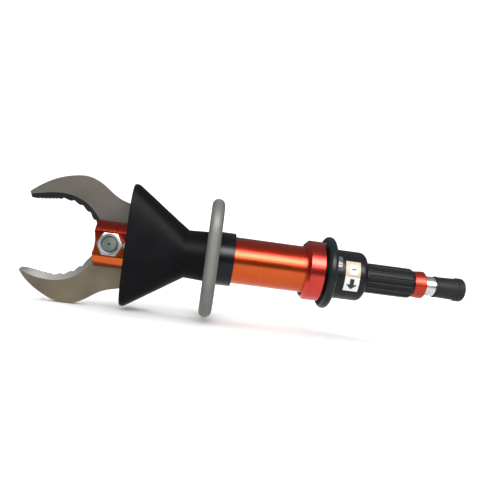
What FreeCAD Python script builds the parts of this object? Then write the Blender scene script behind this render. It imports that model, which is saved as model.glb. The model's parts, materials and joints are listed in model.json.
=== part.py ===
"""Hydraulic rescue cutter with two hooked blades, a closed carry ring and a twist control.

Millimetres.  The tool axis is X: blades point towards -X, the hose coupling towards +X.
The blades swing in the XZ plane and +Z is up.  Lengths below are measured from the
blade pivot; every part is shifted once, on export, so that the origin lies on the tool
axis at the mouth of the hose socket.
"""
import FreeCAD, Part
import math
import os

V = FreeCAD.Vector

# ---- driving dimensions ------------------------------------------------------------
SOCKET_MOUTH_X = 566.0        # hose socket mouth, from the blade pivot
BODY_R = 38.0                 # cylinder outside radius
RUN_FIT = 0.05                # radial clearance of a shaft that turns or slides
GAP = 0.3                     # clearance between neighbouring bodies

# blades
BLADE_T = 16.0                # thickness of one blade
BEVEL_W = 9.5                 # width of the ground bevel on the near face
BEVEL_FAR_W = 9.8             # width of the ground bevel on the outer face
BEVEL_TIP_SHARE = {"upper": 0.52, "lower": 0.3}    # part of that width left at the tip
EDGE_IN = 7.4                 # depth of the cutting edge below the parting face
EDGE_LAND = 0.8               # thickness left at the cutting edge
HUB_R = 25.5
HUB_CLEAR_R = HUB_R + 0.7
BACK_END = {"upper": [(-100.0, 93.1), (-124.0, 79.5), (-141.0, 66.0)],
            "lower": [(-100.0, 90.6), (-123.0, 75.0), (-134.8, 62.2)]}
EDGE_TIP = {"upper": (-140.0, 57.0), "lower": (-134.7, 58.0)}
JAW_LEAN = {"upper": 0.0, "lower": 1.9}    # degrees that a jaw is ground round towards closing
BACK_CURVE = [(36.0, 46.0), (31.0, 60.5), (2.0, 72.0), (-20.8, 85.0), (-37.0, 96.2),
              (-53.0, 101.8), (-75.0, 100.6)]
EDGE_CURVE = [(-115.0, 57.7), (-88.0, 60.4), (-69.0, 56.8),
              (-53.4, 48.0), (-40.0, 34.5), (-31.0, 22.0)]

# teeth along the cutting edge, fine near the tip
TOOTHLESS_TIP = 12.0
TOOTHLESS_ROOT = 1.0
FINE_SHARE = 0.36             # share of the edge that has fine teeth
FINE_TOOTH = (5.5, 1.9)       # pitch and depth
COARSE_TOOTH = (15.6, 3.3)
NOTCH_SHARE = 0.28            # a notch lies this far along its tooth, from the tip's side
NOTCH_R = 0.7
TOOTH_CLEAR = 0.4             # how far a cutter starts outside the edge

# linkage, closed by pushing the rod towards the blades
TAIL_R = 56.0                 # pivot to tail pin
TAIL_ANGLE = 26.0             # degrees above the axis with the blades open
LINK_L = 72.0
CROSS_Z = 13.0                # crosshead pin above the axis
EYE_R = 12.0
LINK_PIN_R = 6.0
TAIL_T = 16.0                 # thickness of tail tongue and crosshead
LINK_T = 6.0
LINK_PLAY = 2.4               # extra radius of a link's hole on the tail pin
THICK_TAIL_R = 38.0           # the tail is full width inside this radius
LOCK_SCREW_X = 27.0
LOCK_SCREW_R = 2.0

# pivot bolt
BOLT_R = 11.0
BUSH_R = 14.0
SLOT_HALF = 17.6              # half width of the slot between the yoke's cheeks
FLAT_Y = 34.8                 # milled flats on the cheeks
FLAT_HALF = 20.0
NUT_AF = 34.0
NUT_T = 11.0
WASHER_T = 1.6
NUT_SINK_R = 13.4             # mouth of the nut's countersunk thread

# yoke and hood
YOKE_FRONT = -27.0
CHEEK_R = 40.0                # outside radius of the cheeks, in front of the shoulder
CHEEK_END = 36.0
YOKE_NECK_X = 62.0
YOKE_NECK_R = 35.8
SLOT_END = 141.0
YOKE_REAR = 152.0
HOOD_MOUTH_X = 22.0
HOOD_LIP_X = 28.0             # the lip is straight as far as this
HOOD_RISE = 2.5               # the soft mouth sits a little high
HOOD_NECK_X = 114.0
HOOD_NECK_R = 38.7
HOOD_REAR = 149.0
HOOD_CUFF_R = 40.6
HOOD_WALL = 2.7
HOOD_HALF_H = 97.0
HOOD_HALF_T = 45.0
HOOD_CORNER_T = 35.0          # half thickness where the side curve meets the corner
HOOD_CORNER_H = 84.0
HOOD_END_T = 21.0             # half length of the straight top edge

# cylinder
TUBE_IN_R = 33.0
TUBE_REAR = 318.0
ROD_R = 14.0
ROD_STUB_R = 9.0
GLAND = (166.2, 186.0)
PISTON = (262.0, 286.0)
COLLAR = (150.0, 190.0)
COLLAR_R = 43.3
FLANGE = (305.5, 334.5)
FLANGE_R = 49.0

# carry ring
RING_X = 155.0
RING_TUBE_R = 9.9
RING_HALF = 82.2              # centreline half size, the same up and sideways
RING_CORNER_R = 44.0
LUG_T = 14.0
LUG_W = 24.0
SADDLE_T = 6.0                # foot of a lug, round the collar
SADDLE_HALF_ANGLE = 36.0
LUG_BOLT_ANGLE = 27.0
LUG_BOLT_R = 2.5

# control sleeve, grip and coupling
SLEEVE = (336.0, 407.5)
SLEEVE_R = 40.5
VALVE_R = 34.0
VALVE_REAR = 395.0
GUARD_X = 344.8
GUARD_MAJOR = 52.5
GUARD_MINOR = 6.9
LABEL = (368.0, 392.0)
LABEL_T = 0.5
LABEL_HALF_ANGLE = 35.0
SCREW_X = 357.4
SCREW_ANGLE = 23.0
GRIP = (408.0, 493.0)
GRIP_R = 24.8
GRIP_GROOVES = 16
HANDLE_TUBE_R = 16.0
SWIVEL = (493.3, 512.5)
SWIVEL_R = 22.7
COUPLING_R = 16.3
SOCKET_R = 8.0
SOCKET_L = 16.0
SOCKET_OUT_R = 14.6
NOSE_R = 11.0                 # threaded nose of the coupling body, inside the socket sleeve
NOSE_L = 9.0
CAP = (533.5, 582.0)
POPPET_R = 4.6


# ---- helpers ------------------------------------------------------------------------
parts = {}


def along_x(x0, x1, r, y=0.0, z=0.0):
    """Cylinder along the tool axis, from x0 to x1."""
    return Part.makeCylinder(r, x1 - x0, V(x0, y, z), V(1, 0, 0))


def along_y(y0, y1, r, x=0.0, z=0.0):
    """Cylinder along the pivot axis, from y0 to y1."""
    return Part.makeCylinder(r, y1 - y0, V(x, y0, z), V(0, 1, 0))


def block(x, y, z):
    """Box given by three (low, high) pairs."""
    return Part.makeBox(x[1] - x[0], y[1] - y[0], z[1] - z[0], V(x[0], y[0], z[0]))


def tube(x0, x1, r_out, r_in):
    return along_x(x0, x1, r_out).cut(along_x(x0 - 1, x1 + 1, r_in))


def revolve(profile):
    """Solid of revolution about the tool axis from (x, radius) points."""
    pts = [V(x, 0, r) for x, r in profile]
    wire = Part.makePolygon(pts + [pts[0]])
    return Part.Face(wire).revolve(V(0, 0, 0), V(1, 0, 0), 360)


def rounded(shape, radius, test):
    """Fillet the edges whose centre of mass passes the test."""
    edges = [e for e in shape.Edges if test(e)]
    return shape.makeFillet(radius, edges)


def rim(x, r):
    """Test for a circular edge of radius r at axial place x."""
    def match(edge):
        curve = edge.Curve
        return (isinstance(curve, Part.Circle) and abs(curve.Radius - r) < 0.01
                and abs(curve.Center.x - x) < 0.01)
    return match


def fuse(first, *others):
    return first.multiFuse(list(others)).removeSplitter()


def hexagon(across_flats, y0, y1):
    """Hexagonal prism along Y."""
    r = across_flats / math.sqrt(3)
    pts = [V(r * math.cos(math.radians(60 * i)), y0, r * math.sin(math.radians(60 * i)))
           for i in range(6)]
    face = Part.Face(Part.makePolygon(pts + [pts[0]]))
    return face.extrude(V(0, y1 - y0, 0))


def chamfered_hexagon(across_flats, y0, y1, crown_y):
    """Hexagonal prism whose corners are turned off at the crown_y end."""
    prism = hexagon(across_flats, y0, y1)
    corner = across_flats / math.sqrt(3)
    inward = 1 if crown_y == y0 else -1
    skirt = corner + 0.1
    crown = across_flats / 2 - 0.6
    height = (skirt - crown) * 0.5
    cone = Part.makeCone(crown, skirt, height, V(0, crown_y, 0), V(0, inward, 0))
    rest = Part.makeCylinder(skirt, abs(y1 - y0), V(0, crown_y + inward * height, 0),
                             V(0, inward, 0))
    return prism.common(cone.fuse(rest))


def turned(shape, degrees):
    """Copy turned about the tool axis."""
    copy = shape.copy()
    copy.rotate(V(0, 0, 0), V(1, 0, 0), degrees)
    return copy


def capsule(a, b, r_a, r_b, y0, y1):
    """Plate with round ends, its straight sides tangent to both end circles."""
    dx, dz = b[0] - a[0], b[1] - a[1]
    dist = math.hypot(dx, dz)
    heading = math.atan2(dz, dx)
    lean = math.acos((r_a - r_b) / dist)
    pts = []
    for centre, r, side in ((a, r_a, 1), (b, r_b, 1), (b, r_b, -1), (a, r_a, -1)):
        angle = heading + side * lean
        pts.append(V(centre[0] + r * math.cos(angle), y0, centre[1] + r * math.sin(angle)))
    web = Part.Face(Part.makePolygon(pts + [pts[0]])).extrude(V(0, y1 - y0, 0))
    return fuse(web, along_y(y0, y1, r_a, *a), along_y(y0, y1, r_b, *b))


# ---- blades -------------------------------------------------------------------------
def polar(r, degrees):
    return r * math.cos(math.radians(degrees)), r * math.sin(math.radians(degrees))


def leaned(side, point):
    """Point of a jaw's outline, turned about the pivot by that jaw's lean."""
    lean = math.radians(JAW_LEAN[side])
    x, z = point
    return x * math.cos(lean) - z * math.sin(lean), x * math.sin(lean) + z * math.cos(lean)


def cutting_curve(side):
    curve = Part.BSplineCurve()
    curve.interpolate([V(x, 0, z) for x, z in edge_points(side)])
    return curve


def edge_points(side):
    return [leaned(side, p) for p in [EDGE_TIP[side]] + EDGE_CURVE]


def beside(curve, u, offset):
    """Point at u moved into the blade by offset."""
    p, along = curve.value(u), curve.tangent(u)[0]
    return p.x - along.z * offset, p.z + along.x * offset


def edge_spline(side, offset):
    """Points of the cutting edge moved into the blade by offset."""
    curve = cutting_curve(side)
    moved = []
    for i, (x, z) in enumerate(edge_points(side)):
        width = offset * (BEVEL_TIP_SHARE[side] if i == 0 else 1.0)
        moved.append(beside(curve, curve.parameter(V(x, 0, z)), width))
    return moved


def blade_outline(side, y, offset):
    """Closed outline of a blade at depth y, its edge moved inwards by offset."""
    def at(point):
        return V(point[0], y, point[1])
    edge = edge_spline(side, offset)
    back_points = [leaned(side, p) for p in BACK_CURVE + BACK_END[side]]
    cutting = Part.BSplineCurve()
    cutting.interpolate([at(p) for p in edge])
    back = Part.BSplineCurve()
    back.interpolate([at(p) for p in back_points])
    hub_in = polar(HUB_R, 172)
    hub_out = polar(HUB_R, 20)
    hub = Part.Arc(at(hub_in), at((0, -HUB_R)), at(hub_out))
    return Part.Wire([cutting.toShape(),
                      Part.LineSegment(at(edge[-1]), at(hub_in)).toShape(),
                      hub.toShape(),
                      Part.LineSegment(at(hub_out), at(back_points[0])).toShape(),
                      back.toShape(),
                      Part.LineSegment(at(back_points[-1]), at(edge[0])).toShape()])


def tooth_cutter(curve, start, pitch, depth):
    """Three-sided cutter with a rounded notch, steep on the side nearer the tip."""
    corners = []
    for share, inward in ((0, -TOOTH_CLEAR), (NOTCH_SHARE, depth - NOTCH_R), (1, -TOOTH_CLEAR)):
        u = curve.parameterAtDistance(start + pitch * share)
        x, z = beside(curve, u, inward)
        corners.append(V(x, 0, z))
    wedge = Part.Face(Part.makePolygon(corners + [corners[0]])).extrude(V(0, BLADE_T + 1, 0))
    return wedge.fuse(along_y(0, BLADE_T + 1, NOTCH_R, corners[1].x, corners[1].z))


def serrations(side):
    """Cutters for the teeth: fine near the tip, coarse towards the root."""
    curve = cutting_curve(side)
    length = curve.length()
    cutters = []
    travelled = TOOTHLESS_TIP
    while travelled + COARSE_TOOTH[0] < length - TOOTHLESS_ROOT:
        pitch, depth = FINE_TOOTH if travelled < length * FINE_SHARE else COARSE_TOOTH
        cutters.append(tooth_cutter(curve, travelled, pitch, depth))
        travelled += pitch
    return cutters


def blade(side):
    """Blade of one side, modelled in the upper blade's place."""
    near = GAP / 2
    far = near + BLADE_T
    edge_y = near + EDGE_IN
    land_y = edge_y + EDGE_LAND
    face_side = Part.makeLoft([blade_outline(side, near, BEVEL_W), blade_outline(side, edge_y, 0)],
                              True, True)
    land = Part.Face(blade_outline(side, edge_y, 0)).extrude(V(0, EDGE_LAND, 0))
    outer_side = Part.makeLoft([blade_outline(side, land_y, 0),
                                blade_outline(side, far, BEVEL_FAR_W)], True, True)
    plate = face_side.multiFuse([land, outer_side])
    tail_pin = polar(TAIL_R, TAIL_ANGLE)
    arm = capsule((0, 0), tail_pin, HUB_R, EYE_R + 1.5, -BLADE_T, far)
    ring_zone = along_y(-60, 60, 200).cut(along_y(-61, 61, THICK_TAIL_R))
    outer_faces = ring_zone.common(block((0, 200), (-60, -TAIL_T / 2), (0, 200)))
    near_faces = ring_zone.common(block((0, 200), (TAIL_T / 2, 60), (0, 200)))
    arm = arm.cut(outer_faces).cut(near_faces)
    arm = arm.cut(along_y(-60, near, HUB_CLEAR_R))
    below = block((-60, 200), (-60, 60), (-60, GAP)).cut(along_y(-61, 61, HUB_R))
    arm = arm.cut(below)
    whole = plate.fuse(arm)
    link_sweep = capsule(tail_pin, (tail_pin[0] + 80, tail_pin[1] + 20), EYE_R + 1.2, EYE_R + 1.2,
                         TAIL_T / 2, 60)
    whole = whole.cut(link_sweep)
    for cutter in serrations(side):
        whole = whole.cut(cutter)
    whole = whole.cut(along_y(-60, 60, BUSH_R))
    return whole.cut(along_y(-60, 60, LINK_PIN_R, *tail_pin))


def half_turned(shape):
    """The other blade's side: turned half a turn about the tool axis."""
    return turned(shape, 180)


def blade_side(name, place):
    """One blade with its bush and tail pin; place moves it to its own side."""
    near = GAP / 2
    tail_pin = polar(TAIL_R, TAIL_ANGLE)
    bush = along_y(near, near + BLADE_T, BUSH_R).cut(along_y(-1, 60, BOLT_R + RUN_FIT))
    pin = along_y(-TAIL_T / 2 - LINK_T - 1, TAIL_T / 2 + LINK_T + 1, LINK_PIN_R, *tail_pin)
    parts["blade_" + name] = place(blade(name))
    parts["blade_bush_" + name] = place(bush)
    parts["tail_pin_" + name] = place(pin)


# ---- linkage and rod ----------------------------------------------------------------
def crosshead_x():
    """Crosshead pin's place on the axis with the blades open."""
    x, z = polar(TAIL_R, TAIL_ANGLE)
    return x + math.sqrt(LINK_L ** 2 - (z - CROSS_Z) ** 2)


def link_plate(y0):
    """One plate, with a close hole on the crosshead pin and a loose one on the tail pin."""
    tail_pin = polar(TAIL_R, TAIL_ANGLE)
    cross_pin = (crosshead_x(), CROSS_Z)
    plate = capsule(cross_pin, tail_pin, EYE_R, EYE_R, y0, y0 + LINK_T)
    plate = plate.cut(along_y(y0 - 1, y0 + LINK_T + 1, LINK_PIN_R + RUN_FIT, *cross_pin))
    return plate.cut(along_y(y0 - 1, y0 + LINK_T + 1, LINK_PIN_R + LINK_PLAY, *tail_pin))


def links():
    inner = TAIL_T / 2 + GAP
    parts["link_upper_near"] = link_plate(-inner - LINK_T)
    parts["link_upper_far"] = link_plate(inner)
    parts["link_lower_near"] = half_turned(link_plate(inner))
    parts["link_lower_far"] = half_turned(link_plate(-inner - LINK_T))


def crosshead():
    x = crosshead_x()
    rear = x + EYE_R + 5
    tongue = capsule((x, CROSS_Z), (x, -CROSS_Z), EYE_R - 0.5, EYE_R - 0.5, -TAIL_T / 2, TAIL_T / 2)
    body = block((x, rear), (-TAIL_T / 2, TAIL_T / 2), (-CROSS_Z - 6, CROSS_Z + 6))
    boss = along_x(x + EYE_R, rear, ROD_R)
    head = fuse(tongue, body, boss)
    for side in (1, -1):
        head = head.cut(along_y(-20, 20, LINK_PIN_R, x, side * CROSS_Z))
    parts["rod_crosshead"] = head.cut(along_x(rear - 14, rear + 1, ROD_STUB_R - 2))
    pins = [along_y(-TAIL_T / 2 - LINK_T - 1, TAIL_T / 2 + LINK_T + 1, LINK_PIN_R, x, side * CROSS_Z)
            for side in (1, -1)]
    parts["crosshead_pins"] = Part.makeCompound(pins)
    return rear


def piston_and_rod(rod_front):
    shaft = along_x(rod_front, PISTON[0], ROD_R)
    front_stub = along_x(rod_front - 14, rod_front, ROD_STUB_R - 2)
    rear_stub = along_x(PISTON[0], PISTON[1] + 11, ROD_STUB_R)
    parts["piston_rod"] = fuse(shaft, front_stub, rear_stub)
    middle = sum(PISTON) / 2
    groove = 4.0
    head = tube(PISTON[0], PISTON[1], TUBE_IN_R - RUN_FIT, ROD_STUB_R)
    seat = tube(middle - groove, middle + groove, TUBE_IN_R + 1, TUBE_IN_R - 5)
    parts["piston_head"] = head.cut(seat)
    parts["piston_seal"] = tube(middle - groove, middle + groove, TUBE_IN_R - RUN_FIT, TUBE_IN_R - 5)
    nut = hexagon(27, 0, 10)
    nut.rotate(V(0, 0, 0), V(0, 0, 1), -90)
    nut.translate(V(PISTON[1], 0, 0))
    parts["piston_nut"] = nut.cut(along_x(PISTON[1] - 1, PISTON[1] + 20, ROD_STUB_R))


# ---- yoke, pivot and hood -------------------------------------------------------------
def yoke():
    front = along_x(YOKE_FRONT, CHEEK_END, CHEEK_R)
    front = rounded(front, 2.0, rim(YOKE_FRONT, CHEEK_R))
    shoulder = along_x(CHEEK_END, YOKE_NECK_X, BODY_R)
    neck = along_x(YOKE_NECK_X, YOKE_REAR, YOKE_NECK_R)
    spigot = along_x(YOKE_REAR, GLAND[0], TUBE_IN_R)
    body = fuse(front, shoulder, neck, spigot)
    body = body.cut(block((YOKE_FRONT - 1, SLOT_END), (-SLOT_HALF, SLOT_HALF), (-60, 60)))
    body = body.cut(along_x(SLOT_END - 1, GLAND[0] + 1, ROD_R + 0.4))
    flat_rear = LOCK_SCREW_X + 5.5
    for y in ((-60, -FLAT_Y), (FLAT_Y, 60)):
        body = body.cut(block((YOKE_FRONT - 1, flat_rear), y, (-FLAT_HALF, FLAT_HALF)))
    nose_r = 60.0
    nose_bite = 2.5
    nose = along_y(-60, 60, nose_r, YOKE_FRONT + nose_bite - nose_r, 0)
    body = body.cut(nose)
    body = body.cut(along_y(-60, 60, BOLT_R + RUN_FIT))
    parts["fork_yoke"] = body.cut(along_y(-FLAT_Y - 1, -FLAT_Y + 7, LOCK_SCREW_R, LOCK_SCREW_X))


def pivot():
    """Bolt, nut, washers and the thin discs between the blades and the cheeks."""
    seat = FLAT_Y + WASHER_T
    nut_face = -seat - NUT_T
    end_chamfer = 1.2
    shank = along_y(nut_face - 0.4 + end_chamfer, seat, BOLT_R)
    tip = Part.makeCone(BOLT_R - end_chamfer, BOLT_R, end_chamfer,
                        V(0, nut_face - 0.4, 0), V(0, 1, 0))
    head = chamfered_hexagon(NUT_AF, seat, seat + 11, seat + 11)
    dimple = along_y(nut_face - 1, nut_face + 3, 2.0)
    parts["pivot_bolt"] = fuse(shank, tip, head).cut(dimple)
    nut = chamfered_hexagon(NUT_AF, nut_face, -seat, nut_face)
    sink = Part.makeCone(NUT_SINK_R, BOLT_R, NUT_SINK_R - BOLT_R, V(0, nut_face, 0), V(0, 1, 0))
    parts["pivot_nut"] = nut.cut(along_y(-60, 0, BOLT_R)).cut(sink)
    washers = [along_y(y, y + WASHER_T, 17.0).cut(along_y(-60, 60, BOLT_R))
               for y in (-seat, FLAT_Y)]
    parts["pivot_washers"] = Part.makeCompound(washers)
    outer = GAP / 2 + BLADE_T
    thrust_t = SLOT_HALF - outer - 0.15
    discs = [along_y(y, y + thrust_t, 23.0).cut(along_y(-60, 60, BOLT_R))
             for y in (-SLOT_HALF, SLOT_HALF - thrust_t)]
    parts["thrust_discs"] = Part.makeCompound(discs)


def nut_lock():
    """Narrow tab that stops the nut turning, with its screw."""
    corner = NUT_AF / math.sqrt(3) + 0.4
    plate = block((corner, LOCK_SCREW_X + 4.5), (-FLAT_Y - 2.5, -FLAT_Y), (-4.5, 4.5))
    tab = block((corner, corner + 2.0), (-FLAT_Y - 8, -FLAT_Y), (-3.0, 3.0))
    head = along_y(-FLAT_Y - 5.5, -FLAT_Y - 2.5, 3.6, LOCK_SCREW_X)
    socket = along_y(-FLAT_Y - 6.5, -FLAT_Y - 3.8, 1.7, LOCK_SCREW_X)
    shank = along_y(-FLAT_Y - 2.5, -FLAT_Y + 7, LOCK_SCREW_R, LOCK_SCREW_X)
    parts["nut_lock_screw"] = head.cut(socket).fuse(shank).removeSplitter()
    parts["nut_lock_plate"] = fuse(plate, tab).cut(along_y(-60, 0, LOCK_SCREW_R, LOCK_SCREW_X))


def hood_mouth(x, inset):
    """Wire of the mouth: straight ends, round corners and gently bowed sides."""
    end_t = HOOD_END_T
    half_h = HOOD_HALF_H - inset
    half_t = HOOD_HALF_T - inset
    corner_t = HOOD_CORNER_T - inset
    corner_h = HOOD_CORNER_H - inset * 0.4
    mid_t = end_t + (corner_t - end_t) * 0.76
    mid_h = corner_h + (half_h - corner_h) * 0.72

    def p(y, z):
        return V(x, y, z + HOOD_RISE)
    edges = []
    edges.append(Part.LineSegment(p(-end_t, half_h), p(end_t, half_h)))
    edges.append(Part.Arc(p(end_t, half_h), p(mid_t, mid_h), p(corner_t, corner_h)))
    edges.append(Part.Arc(p(corner_t, corner_h), p(half_t, 0), p(corner_t, -corner_h)))
    edges.append(Part.Arc(p(corner_t, -corner_h), p(mid_t, -mid_h), p(end_t, -half_h)))
    edges.append(Part.LineSegment(p(end_t, -half_h), p(-end_t, -half_h)))
    edges.append(Part.Arc(p(-end_t, -half_h), p(-mid_t, -mid_h), p(-corner_t, -corner_h)))
    edges.append(Part.Arc(p(-corner_t, -corner_h), p(-half_t, 0), p(-corner_t, corner_h)))
    edges.append(Part.Arc(p(-corner_t, corner_h), p(-mid_t, mid_h), p(-end_t, half_h)))
    return Part.Wire([e.toShape() for e in edges])


def hood_neck(x, r):
    """Circle in eight arcs that answer the eight edges of the mouth."""
    stops = [-20, 20, 42, 138, 160, 200, 222, 318, 340]

    def p(degrees):
        a = math.radians(degrees)
        return V(x, r * math.sin(a), r * math.cos(a))
    edges = [Part.Arc(p(a), p((a + b) / 2), p(b)).toShape() for a, b in zip(stops, stops[1:])]
    return Part.Wire(edges)


def hood():
    def flare(inset, extra):
        lip = Part.Face(hood_mouth(HOOD_MOUTH_X - extra, inset))
        lip = lip.extrude(V(HOOD_LIP_X - HOOD_MOUTH_X + extra, 0, 0))
        cone = Part.makeLoft([hood_mouth(HOOD_LIP_X, inset),
                              hood_neck(HOOD_NECK_X, HOOD_NECK_R - inset)], True, True)
        return lip.fuse(cone)
    neck_in = YOKE_NECK_R + 0.05
    cuff = revolve([(HOOD_NECK_X, 0), (HOOD_NECK_X, HOOD_NECK_R), (HOOD_REAR, HOOD_CUFF_R),
                    (HOOD_REAR, 0)])
    outer = flare(0, 0).fuse(cuff)
    bore = along_x(HOOD_NECK_X - 3, HOOD_REAR + 1, neck_in)
    inner = flare(HOOD_WALL, 0.01).fuse(bore)
    shell = outer.cut(inner)
    parts["blade_hood"] = shell.removeSplitter()


# ---- cylinder, collar and ring --------------------------------------------------------
def cylinder():
    parts["cylinder_tube"] = tube(YOKE_REAR, TUBE_REAR, BODY_R, TUBE_IN_R)
    gland = tube(GLAND[0], GLAND[1], TUBE_IN_R, ROD_R + RUN_FIT)
    seal_x = (GLAND[1] - 8, GLAND[1] - 3)
    wiper_x = (GLAND[0] + 2, GLAND[0] + 6)
    pocket = ROD_R + 4
    for x0, x1 in (seal_x, wiper_x):
        gland = gland.cut(along_x(x0, x1, pocket))
    parts["rod_gland"] = gland
    parts["rod_seal"] = tube(*seal_x, pocket, ROD_R + RUN_FIT)
    parts["rod_wiper"] = tube(*wiper_x, pocket, ROD_R + RUN_FIT)
    bevel = 5.5
    flange = revolve([(FLANGE[0], 0), (FLANGE[0], FLANGE_R - bevel), (FLANGE[0] + bevel, FLANGE_R),
                      (FLANGE[1] - 1.2, FLANGE_R), (FLANGE[1], FLANGE_R - 1.2), (FLANGE[1], 0)])
    flange = flange.cut(tube(FLANGE[0] - 1, TUBE_REAR, BODY_R, TUBE_IN_R))
    flange = flange.cut(along_x(FLANGE[0] - 1, FLANGE[0] + 4, TUBE_IN_R))
    flange = flange.cut(along_x(FLANGE[0] - 1, FLANGE[1] + 1, 5.0))
    screws = []
    for i in range(8):
        angle = math.radians(22.5 + 45 * i)
        y, z = 44.4 * math.cos(angle), 44.4 * math.sin(angle)
        flange = flange.cut(along_x(FLANGE[1] - 3.5, FLANGE[1] + 1, 2.9, y, z))
        flange = flange.cut(along_x(FLANGE[1] - 14, FLANGE[1], 1.6, y, z))
        screw = along_x(FLANGE[1] - 3.5, FLANGE[1] - 0.5, 2.8, y, z)
        screw = screw.cut(along_x(FLANGE[1] - 2.5, FLANGE[1], 1.4, y, z))
        screws.append(fuse(screw, along_x(FLANGE[1] - 13.5, FLANGE[1] - 3.5, 1.55, y, z)))
    parts["end_flange"] = flange
    parts["flange_screws"] = Part.makeCompound(screws)


def ring_path():
    """Square centreline with round corners, in the plane x = RING_X."""
    h, r = RING_HALF, RING_CORNER_R
    flat = h - r
    diag = flat + r * math.sqrt(0.5)
    edges = []
    for quarter in range(4):
        c, s = [(1, 0), (0, 1), (-1, 0), (0, -1)][quarter]

        def p(y, z):
            return V(RING_X, y * c - z * s, y * s + z * c)
        edges.append(Part.LineSegment(p(h, -flat), p(h, flat)).toShape())
        edges.append(Part.Arc(p(h, flat), p(diag, diag), p(flat, h)).toShape())
    return Part.Wire(edges)


def collar_and_ring():
    collar = tube(COLLAR[0], COLLAR[1], COLLAR_R, BODY_R)
    collar = rounded(collar, 1.5, rim(COLLAR[1], COLLAR_R))
    collar = collar.cut(tube(COLLAR[0] - 1, YOKE_REAR, BODY_R, YOKE_NECK_R))
    path = ring_path()
    start = V(RING_X, RING_HALF, -(RING_HALF - RING_CORNER_R))
    profile = Part.Wire([Part.makeCircle(RING_TUBE_R, start, V(0, 0, 1))])
    ring = path.makePipeShell([profile], True, False)
    parts["carry_ring"] = ring
    saddle_r = COLLAR_R + SADDLE_T
    front, rear = RING_X - LUG_T / 2, RING_X + LUG_T / 2
    strut = block((front, rear), (-LUG_W / 2, LUG_W / 2), (COLLAR_R - 3, RING_HALF))
    saddle = sector(front, rear, saddle_r, COLLAR_R, 90 - SADDLE_HALF_ANGLE, 90 + SADDLE_HALF_ANGLE)
    lug = strut.fuse(saddle).cut(along_x(front - 1, rear + 1, COLLAR_R)).cut(ring)
    lug = sorted(lug.Solids, key=lambda solid: solid.Volume)[-1].removeSplitter()
    bolts = []
    holes = []
    for angle in (LUG_BOLT_ANGLE, -LUG_BOLT_ANGLE):
        hole = Part.makeCylinder(LUG_BOLT_R, saddle_r - BODY_R, V(RING_X, 0, BODY_R + 0.5), V(0, 0, 1))
        head = Part.makeCylinder(4.3, 4.0, V(RING_X, 0, saddle_r + 0.5), V(0, 0, 1))
        socket = Part.makeCylinder(2.0, 4.0, V(RING_X, 0, saddle_r + 2.2), V(0, 0, 1))
        bolts.append(turned(head.cut(socket).fuse(hole).removeSplitter(), angle))
        holes.append(turned(hole.fuse(head), angle))
    lug = lug.cut(Part.makeCompound(holes))
    both_holes = Part.makeCompound(holes + [half_turned(hole) for hole in holes])
    parts["handle_collar"] = collar.cut(both_holes)
    parts["ring_lug_upper"] = lug
    parts["ring_lug_lower"] = half_turned(lug)
    parts["lug_bolts"] = Part.makeCompound(bolts + [half_turned(bolt) for bolt in bolts])


# ---- control sleeve -----------------------------------------------------------------
def sector(x0, x1, r_out, r_in, low, high):
    """Part of a tube between two angles above the -Y side."""
    band = tube(x0, x1, r_out, r_in)
    reach = r_out * 1.4
    pts = [V(x0 - 1, 0, 0)]
    steps = 4
    for i in range(steps + 1):
        a = math.radians(low + (high - low) * i / steps)
        pts.append(V(x0 - 1, -reach * math.cos(a), reach * math.sin(a)))
    wedge = Part.Face(Part.makePolygon(pts + [pts[0]])).extrude(V(x1 - x0 + 2, 0, 0))
    return band.common(wedge)


def screw_on_sleeve(degrees):
    """Slotted cheese-head screw, radial, degrees above the -Y side."""
    head = along_y(-SLEEVE_R - 1.6, -SLEEVE_R + 2.5, 4.8, SCREW_X)
    slot = block((SCREW_X - 6, SCREW_X + 6), (-SLEEVE_R - 2, -SLEEVE_R - 0.7), (-0.7, 0.7))
    return turned(head.cut(slot), -degrees)


def control():
    round_r = 10.0
    outer = along_x(SLEEVE[0], SLEEVE[1], SLEEVE_R)
    outer = rounded(outer, round_r, rim(SLEEVE[1], SLEEVE_R))
    outer = rounded(outer, 1.2, rim(SLEEVE[0], SLEEVE_R))
    sleeve = outer.cut(along_x(SLEEVE[0] - 1, 401.0, VALVE_R + RUN_FIT))
    sleeve = sleeve.cut(along_x(400, SLEEVE[1] + 1, HANDLE_TUBE_R + GAP))
    angles = (SCREW_ANGLE, SCREW_ANGLE + 120, SCREW_ANGLE + 240)
    screws = [screw_on_sleeve(a) for a in angles]
    for a in angles:
        sleeve = sleeve.cut(turned(along_y(-SLEEVE_R - 1, -SLEEVE_R + 2.5, 4.8, SCREW_X), -a))
    pins = []
    valve_disc = tube(VALVE_REAR + GAP, 400.8, VALVE_R, HANDLE_TUBE_R + 1.0)
    for i in range(2):
        side = 26.0 * (1 if i == 0 else -1)
        pins.append(along_x(397.5, 406.0, 2.5, 0, side))
        sleeve = sleeve.cut(along_x(400, 406.0, 2.5, 0, side))
        valve_disc = valve_disc.cut(along_x(397.5, 402, 2.5, 0, side))
    for side in (1, -1):
        valve_disc = valve_disc.cut(along_x(390, 402, 4.0, side * 25.0, 0))
    parts["control_sleeve"] = sleeve
    parts["sleeve_screws"] = Part.makeCompound(screws)
    parts["valve_disc"] = valve_disc
    parts["drive_pins"] = Part.makeCompound(pins)
    torus = Part.makeTorus(GUARD_MAJOR, GUARD_MINOR, V(GUARD_X, 0, 0), V(1, 0, 0))
    web = tube(GUARD_X - 3.5, GUARD_X + 3.5, GUARD_MAJOR - 3, SLEEVE_R)
    parts["guard_ring"] = torus.fuse(web).removeSplitter()
    top = SLEEVE_R + LABEL_T
    parts["label_upper"] = sector(*LABEL, top, SLEEVE_R, 0.4, LABEL_HALF_ANGLE)
    parts["label_lower"] = sector(*LABEL, top, SLEEVE_R, -LABEL_HALF_ANGLE, -0.4)


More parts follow.
